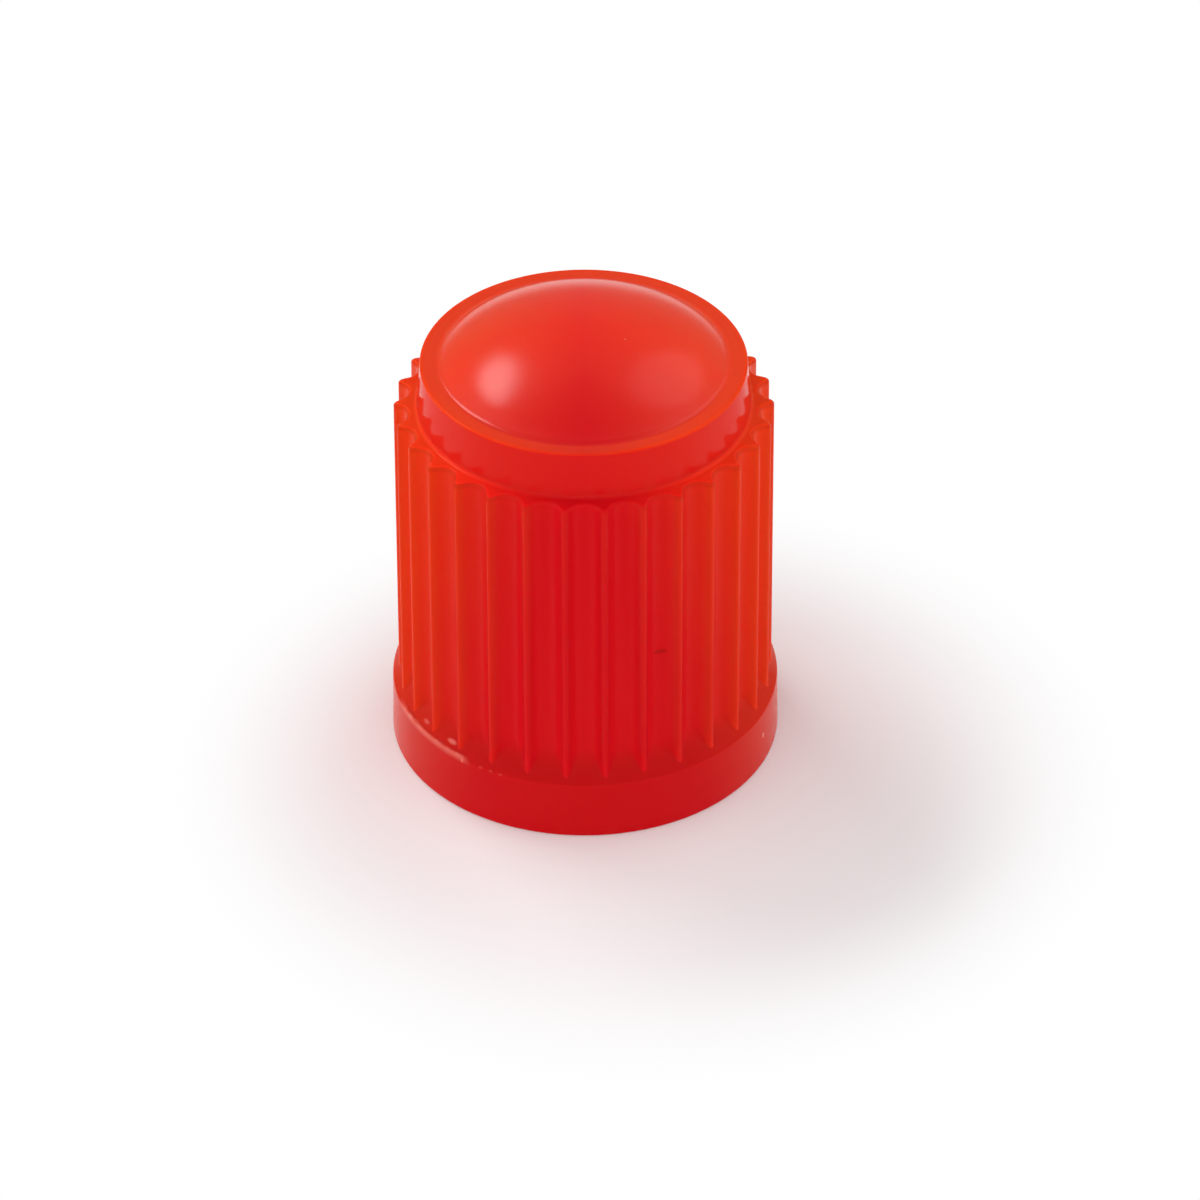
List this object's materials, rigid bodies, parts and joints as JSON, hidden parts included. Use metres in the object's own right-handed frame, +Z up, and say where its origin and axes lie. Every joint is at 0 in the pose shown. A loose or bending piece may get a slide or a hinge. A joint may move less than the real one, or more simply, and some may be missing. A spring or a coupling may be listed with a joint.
{
  "type": "tyre valve cap",
  "caption": "Screw-on plastic cap for a tyre valve stem: ribbed barrel with a plain collar at the open mouth, a stepped neck and a low domed top.",
  "frame": {"origin": "centre of the open mouth, in the plane that the cap stands on", "axes": "+Z up the cap's axis from the mouth to the domed top; a flute between two ribs faces -Y"},
  "size_m": [0.0098, 0.0098, 0.012],
  "materials": {
    "red_plastic": "semi-gloss moulded red plastic"
  },
  "bodies": {
    "root": {"valve_cap": "red_plastic"}
  },
  "joints": []
}
